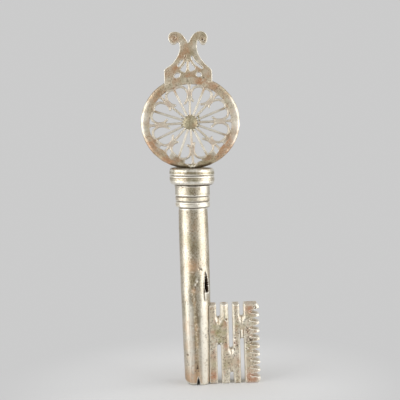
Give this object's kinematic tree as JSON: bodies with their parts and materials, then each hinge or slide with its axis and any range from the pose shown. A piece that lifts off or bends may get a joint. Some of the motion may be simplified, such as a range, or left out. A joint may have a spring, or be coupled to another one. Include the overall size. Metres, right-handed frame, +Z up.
{
  "type": "wrought iron key",
  "caption": "Wrought iron key with a hollow pipe shank, a slotted and toothed bit, a turned collar, and an oval bow with a strip rosette under a scrolled crown.",
  "frame": {"origin": "middle of the key's box, on the surface that the flush end of the pipe and bit stands on", "axes": "+Z up the shank from the pipe's mouth to the crown, +X towards the bit, -Y the front, the side with the pipe's groove"},
  "size_m": [0.047, 0.0188, 0.1478],
  "materials": {
    "iron": "burnished wrought iron with a warm brown patina",
    "bright_iron": "wrought iron rubbed bright on its edges",
    "dark_iron": "wrought iron with olive brown patina in its recesses",
    "brazed_iron": "iron strip stained with copper braze"
  },
  "bodies": {
    "root": {"shank_pipe": "iron", "bit": "iron", "lower_bead_ring": "bright_iron", "upper_bead_ring": "bright_iron", "neck_sleeve": "iron", "collar_cup": "iron", "collar_cap": "dark_iron", "bow_tang": "dark_iron", "bow_rim": "iron", "rosette_hub": "bright_iron", "stem_1": "bright_iron", "stem_2": "bright_iron", "stem_3": "bright_iron", "stem_4": "bright_iron", "stem_5": "bright_iron", "stem_6": "bright_iron", "stem_7": "bright_iron", "stem_8": "bright_iron", "plain_spoke_1": "bright_iron", "plain_spoke_2": "bright_iron", "plain_spoke_3": "bright_iron", "plain_spoke_4": "bright_iron", "plain_spoke_5": "bright_iron", "plain_spoke_6": "bright_iron", "plain_spoke_7": "bright_iron", "plain_spoke_8": "bright_iron", "scroll_1_right": "brazed_iron", "scroll_1_left": "brazed_iron", "scroll_2_right": "brazed_iron", "scroll_2_left": "brazed_iron", "scroll_3_right": "brazed_iron", "scroll_3_left": "brazed_iron", "scroll_4_right": "brazed_iron", "scroll_4_left": "brazed_iron", "scroll_5_right": "brazed_iron", "scroll_5_left": "brazed_iron", "scroll_6_right": "brazed_iron", "scroll_6_left": "brazed_iron", "scroll_7_right": "brazed_iron", "scroll_7_left": "brazed_iron", "scroll_8_right": "brazed_iron", "scroll_8_left": "brazed_iron", "crown_base": "dark_iron", "crown_horn_left": "iron", "crown_horn_right": "iron", "crown_strut_left": "brazed_iron", "crown_strut_right": "brazed_iron", "crown_stem": "brazed_iron"}
  },
  "joints": []
}
